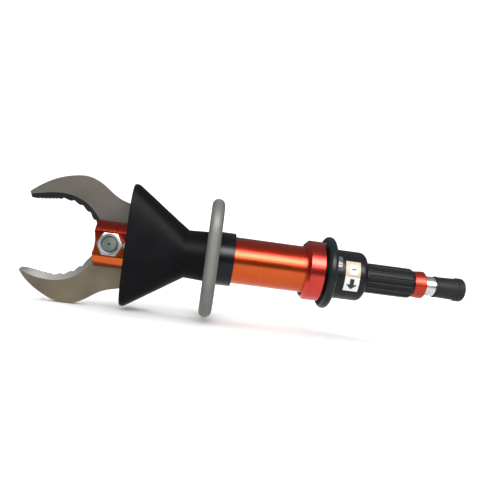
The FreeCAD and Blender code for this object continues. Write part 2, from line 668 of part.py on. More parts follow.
def valve_and_handle():
    body = tube(FLANGE[1], VALVE_REAR, VALVE_R, 5.0)
    body = body.cut(along_x(VALVE_REAR - 16, VALVE_REAR + 1, HANDLE_TUBE_R - 2))
    parts["valve_body"] = body
    handle = tube(VALVE_REAR, SWIVEL[1], HANDLE_TUBE_R, 7.0)
    stub = tube(VALVE_REAR - 16, VALVE_REAR, HANDLE_TUBE_R - 2, 7.0)
    parts["handle_tube"] = fuse(handle, stub)


# ---- grip, coupling and cap ------------------------------------------------------------
def grip():
    body = along_x(GRIP[0], GRIP[1], GRIP_R)
    body = rounded(body, 7.0, rim(GRIP[1], GRIP_R))
    body = rounded(body, 1.5, rim(GRIP[0], GRIP_R))
    flutes = []
    for i in range(GRIP_GROOVES):
        a = 2 * math.pi * (i + 0.5) / GRIP_GROOVES
        r = GRIP_R + 0.8
        flutes.append(along_x(GRIP[0] + 5, GRIP[1] + 2, 2.4, r * math.cos(a), r * math.sin(a)))
    body = body.cut(Part.makeCompound(flutes))
    parts["grip"] = body.cut(along_x(GRIP[0] - 1, GRIP[1] + 1, HANDLE_TUBE_R))


def coupling():
    """Orange collar, coupling body, and the socket sleeve screwed over the body's nose."""
    collar = revolve([(SWIVEL[0], 0), (SWIVEL[0], 20.6), (SWIVEL[0] + 1.5, 21.6),
                      (SWIVEL[1] - 5, SWIVEL_R), (SWIVEL[1] - 1.5, SWIVEL_R), (SWIVEL[1], 21.2),
                      (SWIVEL[1], 0)])
    parts["coupling_collar"] = collar.cut(along_x(SWIVEL[0] - 1, SWIVEL[1] + 1, HANDLE_TUBE_R))
    floor = SOCKET_MOUTH_X - SOCKET_L
    step_x = CAP[0] - 1.5
    body = revolve([(SWIVEL[1], 0), (SWIVEL[1], COUPLING_R), (step_x - 1.5, COUPLING_R),
                    (step_x, SOCKET_OUT_R), (floor - NOSE_L, SOCKET_OUT_R), (floor - NOSE_L, NOSE_R),
                    (floor, NOSE_R), (floor, 0)])
    groove = tube(518.5, 521.5, COUPLING_R + 1, COUPLING_R - 1.2)
    poppet_rear = floor - 14
    body = body.cut(groove)
    body = body.cut(along_x(poppet_rear, floor + 1, POPPET_R + RUN_FIT))
    body = body.cut(along_x(SWIVEL[1] - 1, poppet_rear, 7.0))
    parts["coupling_body"] = body
    socket = revolve([(floor - NOSE_L, 0), (floor - NOSE_L, SOCKET_OUT_R),
                      (SOCKET_MOUTH_X - 1.0, SOCKET_OUT_R), (SOCKET_MOUTH_X, SOCKET_OUT_R - 1.0),
                      (SOCKET_MOUTH_X, 0)])
    socket = socket.cut(along_x(floor - NOSE_L - 1, floor, NOSE_R))
    parts["coupling_socket"] = socket.cut(along_x(floor - 1, SOCKET_MOUTH_X + 1, SOCKET_R))
    parts["coupling_seal"] = tube(floor - 26, floor - 23, 7.0, 5.2)
    parts["coupling_poppet"] = fuse(along_x(floor - 12, floor - 0.5, POPPET_R),
                                    along_x(floor - 16, floor - 12, POPPET_R - 1.2))


def cap():
    inner = 15.0
    shell = revolve([(CAP[0], 0), (CAP[0], 17.9), (CAP[0] + 1.6, 17.9), (CAP[0] + 2.6, 17.1),
                     (569.5, 18.3), (570.5, 19.6), (CAP[1] - 3, 19.6), (CAP[1] - 0.8, 18.6),
                     (CAP[1], 16.6), (CAP[1], 0)])
    shell = shell.cut(along_x(CAP[0] - 1, CAP[1] - 4, inner))
    parts["dust_cap"] = shell


def build():
    blade_side("upper", lambda s: s)
    blade_side("lower", half_turned)
    links()
    piston_and_rod(crosshead())
    yoke()
    pivot()
    nut_lock()
    hood()
    cylinder()
    collar_and_ring()
    control()
    valve_and_handle()
    grip()
    coupling()
    cap()


build()
os.makedirs("parts", exist_ok=True)
for name, shape in parts.items():
    placed = shape.copy()
    placed.translate(V(-SOCKET_MOUTH_X, 0, 0))
    placed.exportStep("parts/" + name + ".step")
    print(name, len(placed.Solids), placed.isValid(), round(placed.Volume / 1000, 1))
print("crosshead x", round(crosshead_x(), 2))
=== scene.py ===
import json
import math

import bmesh
import bpy
from mathutils import Matrix, Vector, noise

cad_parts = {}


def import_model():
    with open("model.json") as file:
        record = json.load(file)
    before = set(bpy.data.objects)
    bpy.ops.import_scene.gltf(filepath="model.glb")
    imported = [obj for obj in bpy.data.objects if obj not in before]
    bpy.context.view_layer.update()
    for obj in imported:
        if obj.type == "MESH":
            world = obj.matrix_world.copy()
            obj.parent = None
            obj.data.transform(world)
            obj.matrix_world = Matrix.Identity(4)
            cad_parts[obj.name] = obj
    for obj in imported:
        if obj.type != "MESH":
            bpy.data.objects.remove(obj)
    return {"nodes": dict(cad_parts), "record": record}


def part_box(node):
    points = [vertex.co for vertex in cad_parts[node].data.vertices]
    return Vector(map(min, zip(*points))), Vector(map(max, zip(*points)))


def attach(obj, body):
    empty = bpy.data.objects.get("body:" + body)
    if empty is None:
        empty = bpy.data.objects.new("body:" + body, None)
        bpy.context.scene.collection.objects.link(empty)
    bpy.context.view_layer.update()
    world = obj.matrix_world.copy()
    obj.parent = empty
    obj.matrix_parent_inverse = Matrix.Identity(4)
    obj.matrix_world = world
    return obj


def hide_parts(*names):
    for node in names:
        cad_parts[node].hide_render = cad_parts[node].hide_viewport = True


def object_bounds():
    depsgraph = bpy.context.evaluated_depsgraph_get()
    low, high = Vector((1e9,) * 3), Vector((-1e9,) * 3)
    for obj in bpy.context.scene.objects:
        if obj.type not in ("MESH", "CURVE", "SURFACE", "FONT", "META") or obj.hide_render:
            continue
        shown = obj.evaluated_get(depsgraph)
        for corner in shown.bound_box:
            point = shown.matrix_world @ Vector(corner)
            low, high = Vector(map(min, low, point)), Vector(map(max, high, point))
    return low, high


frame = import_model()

CAD_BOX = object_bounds()
NODES = frame["nodes"]

# ---- places read from the frame ------------------------------------------------------
PIVOT_X = (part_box("pivot_nut")[0].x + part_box("pivot_nut")[1].x) / 2
SLEEVE_LOW, SLEEVE_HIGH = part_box("control_sleeve")
SLEEVE_R = (SLEEVE_HIGH.z - SLEEVE_LOW.z) / 2
LABEL_LOW, LABEL_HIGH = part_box("label_upper")
HOOD_LOW, HOOD_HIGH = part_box("blade_hood")
SCREW_LOW, SCREW_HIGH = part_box("sleeve_screws")
FLOOR_Z = CAD_BOX[0].z

# ---- camera ----------------------------------------------------------------------------
LENS = 34.56                  # millimetres
SENSOR = 36.0
CLIP_START = 0.01
CAMERA_FROM_PIVOT = Vector((0.147, -0.784, 0.020))
CAMERA_YAW = math.radians(5.0)
CAMERA_ROLL = math.radians(7.72)


# ---- shader helpers --------------------------------------------------------------------
# sockets of a Mix node, by number, because their names repeat
SHARE, NUMBER_A, NUMBER_B, COLOUR_A, COLOUR_B = 0, 2, 3, 6, 7
NUMBER_OUT, COLOUR_OUT = 0, 2
EDGE_SAMPLES = 4
# 1 - cosine of a normal's turn, where wear begins to show and where it is full
SLIGHT_BEND, FULL_BEND = 0.02, 0.20


class Shader:
    """A material with a Principled surface, and short ways to add and join nodes."""

    def __init__(self, name, **surface):
        self.material = bpy.data.materials.new(name)
        self.material.use_nodes = True
        self.tree = self.material.node_tree
        self.tree.nodes.clear()
        self.out = self.add("ShaderNodeOutputMaterial")
        self.surface = self.add("ShaderNodeBsdfPrincipled", **surface)
        self.join(self.surface.outputs["BSDF"], self.out.inputs["Surface"])
        self.where = self.add("ShaderNodeTexCoord").outputs["Object"]

    def add(self, kind, settings=None, **inputs):
        """New node; an underscore in an input's key stands for a space in its name."""
        node = self.tree.nodes.new(kind)
        for key, value in (settings or {}).items():
            setattr(node, key, value)
        for key, value in inputs.items():
            self.put(node, key.replace("_", " "), value)
        return node

    def put(self, node, key, value):
        """Set a socket, named or numbered, to a value, or join another socket to it."""
        socket = node.inputs[key]
        if isinstance(value, bpy.types.NodeSocket):
            self.join(value, socket)
        else:
            socket.default_value = value

    def join(self, source, target):
        self.tree.links.new(source, target)

    def stretched(self, x, y, z):
        """Object coordinates scaled by axis, so that a pattern runs along one of them."""
        mapping = self.add("ShaderNodeMapping", Vector=self.where)
        mapping.inputs["Scale"].default_value = (x, y, z)
        return mapping.outputs["Vector"]

    def noise(self, scale, detail=4.0, where=None, roughness=0.5):
        """Noise at where, by default the object coordinates, mostly between 0.3 and 0.7."""
        node = self.add("ShaderNodeTexNoise", Vector=where or self.where)
        node.inputs["Scale"].default_value = scale
        node.inputs["Detail"].default_value = detail
        node.inputs["Roughness"].default_value = roughness
        return node.outputs["Fac"]

    def spread(self, value, low, high, from_low=0.3, from_high=0.7):
        """Map a range of value, by default the middle of a noise, to low and high."""
        node = self.add("ShaderNodeMapRange", Value=value)
        node.inputs["From Min"].default_value = from_low
        node.inputs["From Max"].default_value = from_high
        node.inputs["To Min"].default_value = low
        node.inputs["To Max"].default_value = high
        return node.outputs["Result"]

    def maths(self, operation, *values):
        node = self.add("ShaderNodeMath", {"operation": operation})
        for index, value in enumerate(values):
            self.put(node, index, value)
        return node.outputs["Value"]

    def blend(self, share, first, second):
        """Colour between first and second by share."""
        node = self.add("ShaderNodeMix", {"data_type": "RGBA"})
        self.put(node, SHARE, share)
        self.put(node, COLOUR_A, first)
        self.put(node, COLOUR_B, second)
        return node.outputs[COLOUR_OUT]

    def along(self, source, axis):
        """One part, X, Y or Z, of a vector."""
        return self.add("ShaderNodeSeparateXYZ", Vector=source).outputs[axis]

    def worn_edges(self, radius):
        """1 along sharp edges, 0 on open faces."""
        rounded = self.soft_edges(radius)
        true_normal = self.add("ShaderNodeNewGeometry").outputs["Normal"]
        dot = self.add("ShaderNodeVectorMath", {"operation": "DOT_PRODUCT"})
        self.put(dot, 0, rounded)
        self.put(dot, 1, true_normal)
        bend = self.maths("SUBTRACT", 1.0, dot.outputs["Value"])
        return self.spread(bend, 0.0, 1.0, SLIGHT_BEND, FULL_BEND)

    def soft_edges(self, radius):
        """Normal that rounds sharp edges off by radius."""
        node = self.add("ShaderNodeBevel", {"samples": EDGE_SAMPLES}, Radius=radius)
        return node.outputs["Normal"]

    def bump(self, height, depth, normal=None):
        """Normal of a surface whose height, 0 to 1, stands for this depth."""
        node = self.add("ShaderNodeBump", Height=height)
        node.inputs["Strength"].default_value = 1.0
        node.inputs["Distance"].default_value = depth
        if normal is not None:
            self.join(normal, node.inputs["Normal"])
        return node.outputs["Normal"]

    def finish(self, colour, roughness, normal=None):
        """Give the surface its colour, roughness and normal; the material is done."""
        self.put(self.surface, "Base Color", colour)
        self.put(self.surface, "Roughness", roughness)
        if normal is not None:
            self.put(self.surface, "Normal", normal)
        return self.material


def rgb(r, g, b):
    return (r, g, b, 1.0)


def tone(colour, factor):
    """Colour made darker or lighter."""
    return rgb(*(min(1.0, c * factor) for c in colour[:3]))


# ---- materials -------------------------------------------------------------------------
TOOL_MARKS = 0.000012         # depth of a lathe's marks
STREAKS = 0.35                # strength of the rolling streaks
WORN_STEEL = rgb(0.42, 0.40, 0.37)
WORN_DYE = rgb(0.85, 0.45, 0.26)
# a bevel's normal leans along Y by less than FACE_Y, where a blade's flat faces begin, and
# by more than WALL_Y, where the wall round it begins
FACE_Y = (0.94, 0.98)
WALL_Y = (0.12, 0.25)
BRUSH = (60.0, 700.0, 60.0)   # grinding marks that run along the cutting edge
PAINTED_SHADE_Z = (-0.004, 0.014)     # heights between which the colour turns to the painted shade of the top


def blasted_steel(name, base, bevel):
    """Satin plate steel; the sloping bevels beside the cutting edge take the bevel colour,
    which is painted shade on the upper blade and painted light on the lower.
    """
    s = Shader(name, Metallic=0.8)
    mottle = s.noise(24.0, detail=6.0)
    grit = s.noise(2600.0, detail=2.0)
    streaks = s.noise(60.0, detail=5.0, where=s.stretched(1.0, 1.0, 9.0))
    colour = s.blend(s.spread(mottle, 0.0, 1.0), tone(base, 0.82), tone(base, 1.16))
    warm = rgb(base[0] * 1.12, base[1] * 0.97, base[2] * 0.82)
    warmth = s.noise(9.0, detail=3.0)
    colour = s.blend(s.spread(warmth, 0.0, 0.6), colour, warm)
    colour = s.blend(s.spread(streaks, 0.0, STREAKS), colour, tone(base, 0.70))
    object_normal = s.add("ShaderNodeTexCoord").outputs["Normal"]
    facing = s.maths("ABSOLUTE", s.along(object_normal, "Y"))
    sloping = s.maths("MULTIPLY", s.spread(facing, 1.0, 0.0, *FACE_Y),
                      s.spread(facing, 0.0, 1.0, *WALL_Y))
    brushed = s.noise(1.0, detail=3.0, where=s.stretched(*BRUSH))
    # painted light and shade: the bevel tone stands in for the shade on the upper blade's
    # downward bevel and the light on the lower blade's upward bevel; the brushed noise is real
    # grinding marks
    ground_marks_and_painted_light = s.blend(brushed, tone(bevel, 0.8), tone(bevel, 1.2))
    colour = s.blend(sloping, colour, ground_marks_and_painted_light)
    wear = s.worn_edges(0.0007)
    colour = s.blend(s.maths("MULTIPLY", wear, 0.28), colour, WORN_STEEL)
    roughness = s.spread(mottle, 0.44, 0.56)
    normal = s.bump(grit, 0.00005, s.bump(streaks, 0.00005, s.soft_edges(0.0003)))
    return s.finish(colour, roughness, normal)


def anodised(name, base, deep, low=0.20, high=0.27, painted_dark_top=None):
    """Dyed, turned aluminium: darker clouds, bright corners and, when given a top colour, a
    painted shade that makes the top darker and redder.
    """
    s = Shader(name, Metallic=1.0, Coat_Weight=0.55, Coat_Roughness=0.15)
    turning = s.noise(1.0, detail=3.0, where=s.stretched(4200.0, 6.0, 6.0))
    rings = s.noise(1.0, detail=2.0, where=s.stretched(260.0, 3.0, 3.0))
    cloud = s.noise(18.0, detail=3.0)
    scratches = s.noise(1.0, detail=2.0, where=s.stretched(40.0, 900.0, 900.0))
    colour = s.blend(s.spread(cloud, 0.0, 0.8), base, deep)
    if painted_dark_top is not None:
        # painted shade: above the axis the colour turns darker and redder, standing in for the
        # dim room that the top reflects
        upper = s.spread(s.along(s.where, "Z"), 0.0, 1.0, *PAINTED_SHADE_Z)
        colour = s.blend(upper, colour, painted_dark_top)
    colour = s.blend(s.spread(rings, 0.0, 0.25), colour, tone(deep, 0.8))
    wear = s.worn_edges(0.0005)
    colour = s.blend(s.maths("MULTIPLY", wear, 0.5), colour, WORN_DYE)
    scratched = s.spread(scratches, 0.0, 0.05, 0.6, 0.8)
    roughness = s.maths("ADD", s.spread(cloud, low, high), scratched)
    normal = s.bump(turning, TOOL_MARKS, s.soft_edges(0.0005))
    return s.finish(colour, roughness, normal)


def moulded(name, base, rough, grain=1800.0, depth=0.00003, dust=0.25, **surface):
    """Moulded rubber or plastic: fine grain, a little dust and lighter rubbed edges."""
    s = Shader(name, **surface)
    fine = s.noise(grain, detail=3.0)
    cloud = s.noise(22.0, detail=5.0)
    scuffs = s.noise(55.0, detail=7.0, where=s.stretched(1.0, 2.2, 2.2), roughness=0.65)
    colour = s.blend(s.spread(cloud, 0.0, 1.0), tone(base, 0.85), tone(base, 1.15))
    dusty = s.spread(scuffs, 0.0, dust, 0.55, 0.78)
    colour = s.blend(dusty, colour, tone(base, 2.2))
    wear = s.worn_edges(0.0008)
    colour = s.blend(s.maths("MULTIPLY", wear, 0.35), colour, tone(base, 2.6))
    roughness = s.spread(cloud, rough * 0.9, rough * 1.12)
    normal = s.bump(fine, depth, s.soft_edges(0.0005))
    return s.finish(colour, roughness, normal)


def bare_metal(name, base, rough):
    """Turned or plated metal with rings of fine tool marks."""
    s = Shader(name, Metallic=1.0)
    turning = s.noise(1.0, detail=3.0, where=s.stretched(3600.0, 8.0, 8.0))
    cloud = s.noise(45.0, detail=5.0)
    colour = s.blend(s.spread(cloud, 0.0, 1.0), tone(base, 0.86), tone(base, 1.10))
    wear = s.worn_edges(0.0004)
    colour = s.blend(s.maths("MULTIPLY", wear, 0.5), colour, tone(base, 1.4))
    roughness = s.spread(cloud, rough * 0.8, rough * 1.25)
    normal = s.bump(turning, TOOL_MARKS, s.soft_edges(0.0003))
    return s.finish(colour, roughness, normal)


def blasted_aluminium(name, base):
    """Bead-blasted tube: an even matt skin with fine dark speckles."""
    s = Shader(name, Metallic=0.55)
    speckle = s.noise(1500.0, detail=2.0, roughness=0.7)
    cloud = s.noise(30.0)
    pits = s.add("ShaderNodeTexVoronoi", Vector=s.where)
    pits.inputs["Scale"].default_value = 900.0
    colour = s.blend(s.spread(cloud, 0.0, 1.0), tone(base, 0.92), tone(base, 1.07))
    colour = s.blend(s.spread(speckle, 0.0, 0.5, 0.56, 0.74), colour, tone(base, 0.62))
    normal = s.bump(speckle, 0.00006, s.bump(pits.outputs["Distance"], 0.00004))
    return s.finish(colour, s.spread(speckle, 0.50, 0.63), normal)


def printed_film(name, base):
    """Satin printed film: faint paper mottle, darker smudges."""
    s = Shader(name, Coat_Weight=0.3, Coat_Roughness=0.25)
    mottle = s.noise(240.0, detail=5.0)
    smudge = s.noise(90.0, detail=6.0, roughness=0.7)
    colour = s.blend(s.spread(mottle, 0.0, 1.0), tone(base, 0.95), tone(base, 1.04))
    colour = s.blend(s.spread(smudge, 0.0, 0.22, 0.58, 0.75), colour, tone(base, 0.6))
    normal = s.bump(mottle, 0.00001)
    return s.finish(colour, s.spread(mottle, 0.38, 0.48), normal)


# painted shade for the upper blade's downward bevel, painted light for the lower blade's upward
# bevel
PAINTED_SHADE_BEVEL = rgb(0.022, 0.023, 0.024)
PAINTED_LIGHT_BEVEL = rgb(0.30, 0.30, 0.285)
STEEL = rgb(0.101, 0.094, 0.085)
WARM_STEEL = rgb(0.190, 0.170, 0.124)

MATERIALS = {
    "blade_steel": blasted_steel("blade_steel", STEEL, PAINTED_SHADE_BEVEL),
    "bronze": bare_metal("bronze", rgb(0.60, 0.40, 0.18), 0.30),
    "pin_steel": bare_metal("pin_steel", rgb(0.50, 0.50, 0.50), 0.25),
    "link_steel": bare_metal("link_steel", rgb(0.18, 0.18, 0.19), 0.42),
    "rod_chrome": bare_metal("rod_chrome", rgb(0.78, 0.79, 0.80), 0.08),
    "machined_aluminium": bare_metal("machined_aluminium", rgb(0.70, 0.71, 0.72), 0.30),
    "seal_rubber": moulded("seal_rubber", rgb(0.02, 0.02, 0.02), 0.45),
    "zinc_steel": bare_metal("zinc_steel", rgb(0.50, 0.52, 0.54), 0.34),
    # the orange parts carry a painted shade on their top, a redder colour above the axis
    "orange_anodised": anodised("orange_anodised", rgb(0.84, 0.135, 0.016),
                                rgb(0.70, 0.082, 0.010), painted_dark_top=rgb(0.72, 0.045, 0.016)),
    "red_anodised": anodised("red_anodised", rgb(0.84, 0.070, 0.042), rgb(0.70, 0.044, 0.030)),
    "hood_rubber": moulded("hood_rubber", rgb(0.0044, 0.0044, 0.0056), 0.44, dust=0.35,
                           Specular_IOR_Level=0.08),
    "screw_steel": bare_metal("screw_steel", rgb(0.30, 0.25, 0.26), 0.50),
    "ring_aluminium": blasted_aluminium("ring_aluminium", rgb(0.19, 0.19, 0.177)),
    "black_paint": moulded("black_paint", rgb(0.003, 0.004, 0.007), 0.22, grain=500.0,
                           depth=0.00001, dust=0.1, Specular_IOR_Level=0.32),
    "sleeve_plastic": moulded("sleeve_plastic", rgb(0.010, 0.010, 0.012), 0.28, grain=900.0,
                              depth=0.000012, dust=0.15, Specular_IOR_Level=0.26),
    "guard_plastic": moulded("guard_plastic", rgb(0.010, 0.015, 0.016), 0.25, grain=700.0,
                             depth=0.000012, dust=0.15, Specular_IOR_Level=0.26),
    "label_cream": printed_film("label_cream", rgb(0.58, 0.46, 0.32)),
    "label_white": printed_film("label_white", rgb(0.70, 0.70, 0.69)),
    "grip_plastic": moulded("grip_plastic", rgb(0.009, 0.009, 0.010), 0.42, depth=0.00004,
                            Specular_IOR_Level=0.24),
    "coupling_nickel": bare_metal("coupling_nickel", rgb(0.90, 0.91, 0.88), 0.26),
    "mark_ink": printed_film("mark_ink", rgb(0.012, 0.012, 0.013)),
    "mark_blue": printed_film("mark_blue", rgb(0.045, 0.055, 0.09)),
    "plate_grey": moulded("plate_grey", rgb(0.10, 0.10, 0.12), 0.60, Specular_IOR_Level=0.1),
    "cap_rubber": moulded("cap_rubber", rgb(0.013, 0.0135, 0.012), 0.50, depth=0.00004,
                          Specular_IOR_Level=0.28),
}

# nodes that look different from the rest of their slot
NODE_MATERIALS = {
    # the lower blade's bevel carries painted light
    "blade_lower": blasted_steel("blade_steel_painted_light_edge", WARM_STEEL, PAINTED_LIGHT_BEVEL),
    # the fork carries a darker painted shade on its top
    "fork_yoke": anodised("fork_anodised", rgb(0.90, 0.165, 0.012), rgb(0.76, 0.105, 0.010),
                          painted_dark_top=rgb(0.36, 0.016, 0.010)),
    "pivot_bolt": bare_metal("bolt_end", rgb(0.17, 0.19, 0.17), 0.50),
    "coupling_collar": anodised("satin_red", rgb(0.62, 0.055, 0.026), rgb(0.54, 0.045, 0.022),
                                low=0.40, high=0.50),
}


def dress_nodes():
    """Every CAD node takes the material of its slot, or one of its own."""
    for part in frame["record"]["subparts"]:
        node = part["node"]
        mesh = NODES[node].data
        mesh.materials.clear()
        mesh.materials.append(NODE_MATERIALS.get(node, MATERIALS[part["material_slot"]]))


# ---- soft hood -------------------------------------------------------------------------
HOOD_LIP_X = HOOD_LOW.x + 0.006       # end of the straight lip
HOOD_NECK_X = HOOD_HIGH.x - 0.035     # start of the round cuff
HOOD_CUFF_R = 0.0406          # at the rear, just inside the handle collar
HOOD_WALL = 0.0027
HOOD_NECK_SHARE = 0.953       # neck radius at the front of the cuff, of that at the rear
HOOD_SQUARENESS = 3.8         # power of the mouth's rounded rectangle; 2 is an ellipse
HOOD_COLUMNS = 160
HOOD_FLARE_ROWS = 26
HOOD_LIP_ROWS = 8
HOOD_CUFF_ROWS = 10
HOOD_CROWDING = 1.25          # above 1, the outer rows stand closer together towards the lip
HOOD_INNER_STEP = 0.004       # from the neck back to the one row inside the cuff
HOOD_WAVE = 0.0007            # unevenness of the rubber
HOOD_WAVES = (26, 22, 22)     # its scale per metre along X, Y and Z
HOOD_DISH = 0.0022            # how far the flat sides draw in
HOOD_DISH_POWER = 3           # above 1, the drawing in keeps to the middle of the sides


def power_curve(angle, half_y, half_z, power):
    """Point on a rounded rectangle; angle 0 is straight up."""
    s, c = math.sin(angle), math.cos(angle)
    y = math.copysign(abs(s) ** (2 / power), s) * half_y
    z = math.copysign(abs(c) ** (2 / power), c) * half_z
    return y, z


def clamp(value):
    return min(1.0, max(0.0, value))


def hood_point(x, inset, angle):
    """Point of the hood's skin at x, inset from the outer face."""
    low, high = HOOD_LOW, HOOD_HIGH
    mouth_y, mouth_z = (high.y - low.y) / 2, (high.z - low.z) / 2
    rise = (high.z + low.z) / 2
    neck_r = HOOD_CUFF_R * HOOD_NECK_SHARE
    share = clamp((x - HOOD_LIP_X) / (HOOD_NECK_X - HOOD_LIP_X))
    cuff = clamp((x - HOOD_NECK_X) / (high.x - HOOD_NECK_X))
    round_r = neck_r + (HOOD_CUFF_R - neck_r) * cuff
    flare_y, flare_z = power_curve(angle, mouth_y, mouth_z, HOOD_SQUARENESS)
    y = flare_y * (1 - share) + round_r * math.sin(angle) * share
    z = flare_z * (1 - share) + round_r * math.cos(angle) * share
    side = abs(math.sin(angle)) ** HOOD_DISH_POWER
    open_side = math.sin(math.pi * share) * (1 - share) * side
    where = Vector([place * scale for place, scale in zip((x, y, z), HOOD_WAVES)])
    wave = noise.noise(where) * HOOD_WAVE * (1 - cuff)
    draw = inset + HOOD_DISH * open_side + max(0.0, wave)
    kept = 1 - draw / math.hypot(y, z)
    return Vector((x, y * kept, z * kept + rise * (1 - share)))


def hood_profile():
    """(x, inset) pairs: forward along the inner skin, round the lip, back along the outer."""
    rear, half = HOOD_HIGH.x, HOOD_WALL / 2
    lip = HOOD_LOW.x + half
    profile = [(rear, HOOD_WALL), (HOOD_NECK_X + HOOD_INNER_STEP, HOOD_WALL)]
    for i in range(HOOD_FLARE_ROWS + 1):
        share = i / HOOD_FLARE_ROWS
        profile.append((HOOD_NECK_X + (lip - HOOD_NECK_X) * share, HOOD_WALL))
    for i in range(1, HOOD_LIP_ROWS):
        a = math.pi * i / HOOD_LIP_ROWS
        profile.append((lip - half * math.sin(a), half + half * math.cos(a)))
    for i in range(HOOD_FLARE_ROWS + 1):
        share = (i / HOOD_FLARE_ROWS) ** HOOD_CROWDING
        profile.append((lip + (HOOD_NECK_X - lip) * share, 0.0))
    for i in range(1, HOOD_CUFF_ROWS + 1):
        profile.append((HOOD_NECK_X + (rear - HOOD_NECK_X) * i / HOOD_CUFF_ROWS, 0.0))
    return profile


def hood():
    """Moulded rubber hood: rounded lip, straight flare, round cuff, real wall thickness."""
    bm = bmesh.new()
    rows = []
    for x, inset in hood_profile():
        rows.append([bm.verts.new(hood_point(x, inset, 2 * math.pi * k / HOOD_COLUMNS))
                     for k in range(HOOD_COLUMNS)])
    for first, second in zip(rows, rows[1:] + rows[:1]):
        for k in range(HOOD_COLUMNS):
            n = (k + 1) % HOOD_COLUMNS
            bm.faces.new((first[k], first[n], second[n], second[k]))
    bmesh.ops.recalc_face_normals(bm, faces=bm.faces)
    piece = finish_mesh("moulded_hood", bm, MATERIALS["hood_rubber"])
    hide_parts("blade_hood")
    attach(piece, "frame")


SHARP = math.radians(35)


def finish_mesh(name, bm, material):
    """Object made from a bmesh, smooth apart from its sharp edges."""
    mesh = bpy.data.meshes.new(name)
    bm.to_mesh(mesh)
    bm.free()
    mesh.materials.append(material)
    for face in mesh.polygons:
        face.use_smooth = True
    mesh.set_sharp_from_angle(angle=SHARP)
    piece = bpy.data.objects.new(name, mesh)
    bpy.context.scene.collection.objects.link(piece)
    return piece


# ---- marks on the control sleeve -------------------------------------------------------
LABEL_T = 0.0005              # thickness of the label film in the frame
MARK_T = 0.00012              # thickness of one printed layer
STRIP = 0.0012                # marks are divided this finely, so that they follow the sleeve
SAME_POINT = 1e-7
CORNER_STEPS = 5

# Marks lie on an unrolled sleeve: u runs along the tool, v round it from the -Y side.
# A plate is its middle v, its half sizes in u and v, and its corner radius.
PANEL = (0.0115, 0.0068, 0.0082, 0.0022)
BAR = (0.0115, 0.0040, 0.0014, 0.0013)
SCREW_PLATE = (0.0195, 0.0056, 0.0125, 0.0012)
PANEL_SHIFT = 0.001           # of the panel and bar in u, from the label's middle
ARROW_TOP, ARROW_WAIST, ARROW_TIP = -0.0040, -0.0132, -0.0215
ARROW_STEM, ARROW_HEAD = 0.0034, 0.0092     # half widths


def rounded_rectangle(u, v, half_u, half_v, r):
    """Points round a rectangle about (u, v)."""
    points = []
    for corner in range(4):
        cu = u + (half_u - r) * (1 if corner in (0, 3) else -1)
        cv = v + (half_v - r) * (1 if corner in (0, 1) else -1)
        for i in range(CORNER_STEPS + 1):
            a = math.pi / 2 * (corner + i / CORNER_STEPS)
            points.append((cu + r * math.cos(a), cv + r * math.sin(a)))
    return points


def mark(name, outline, base_r, material):
    """Thin patch with a (u, v) outline, wrapped on the sleeve at base_r."""
    bm = bmesh.new()
    bm.faces.new([bm.verts.new((u, v, 0.0)) for u, v in outline])
    cut = min(v for _, v in outline) + STRIP
    last = max(v for _, v in outline)
    while cut < last:
        bmesh.ops.bisect_plane(bm, geom=bm.verts[:] + bm.edges[:] + bm.faces[:],
                               plane_co=(0, cut, 0), plane_no=(0, 1, 0), dist=SAME_POINT)
        cut += STRIP
    made = bmesh.ops.extrude_face_region(bm, geom=bm.faces[:])
    top = [e for e in made["geom"] if isinstance(e, bmesh.types.BMVert)]
    for vert in top:
        vert.co.z = MARK_T
    for vert in bm.verts:
        u, v, height = vert.co
        angle = v / base_r
        r = base_r + height
        vert.co = Vector((u, -r * math.cos(angle), r * math.sin(angle)))
    bmesh.ops.recalc_face_normals(bm, faces=bm.faces)
    piece = finish_mesh(name, bm, material)
    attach(piece, "control")


def sleeve_marks():
    """Plain marks of no particular maker: a bar on a panel, an arrow that points the turn."""
    centre = (LABEL_LOW.x + LABEL_HIGH.x) / 2
    label_r = SLEEVE_R + LABEL_T
    panel = rounded_rectangle(centre + PANEL_SHIFT, *PANEL)
    mark("label_panel", panel, label_r, MATERIALS["label_white"])
    bar = rounded_rectangle(centre + PANEL_SHIFT, *BAR)
    mark("label_panel_bar", bar, label_r + MARK_T, MATERIALS["mark_blue"])
    arrow = [(-ARROW_STEM, ARROW_TOP), (ARROW_STEM, ARROW_TOP), (ARROW_STEM, ARROW_WAIST),
             (ARROW_HEAD, ARROW_WAIST), (0.0, ARROW_TIP), (-ARROW_HEAD, ARROW_WAIST),
             (-ARROW_STEM, ARROW_WAIST)]
    arrow = [(centre + u, v) for u, v in arrow]
    mark("label_arrow", arrow, label_r, MATERIALS["mark_ink"])
    plate = rounded_rectangle((SCREW_LOW.x + SCREW_HIGH.x) / 2, *SCREW_PLATE)
    mark("screw_plate", plate, SLEEVE_R, MATERIALS["plate_grey"])


# ---- studio ----------------------------------------------------------------------------
FLOOR_FRONT = -1.6            # y of the floor's front edge
FLOOR_WIDTH = 3.8
BACK_Y = 1.7                  # of the backdrop's upright part
BACK_BEND = 0.8               # radius between floor and upright
BACK_STEPS = 16
BACK_HEIGHT = 3.2
WORLD_FILL = 0.42             # the world's light on matt surfaces
WORLD_SEEN = 1.0              # and as the camera sees it past the backdrop
# what is reflected from each height of direction, -1 down to 1 up: a pale table, a dark
# room, a dim ceiling
SURROUNDINGS = [(-1.0, 0.76), (-0.30, 0.88), (-0.16, 0.10), (0.12, 0.07), (0.45, 0.18),
                (1.0, 0.22)]
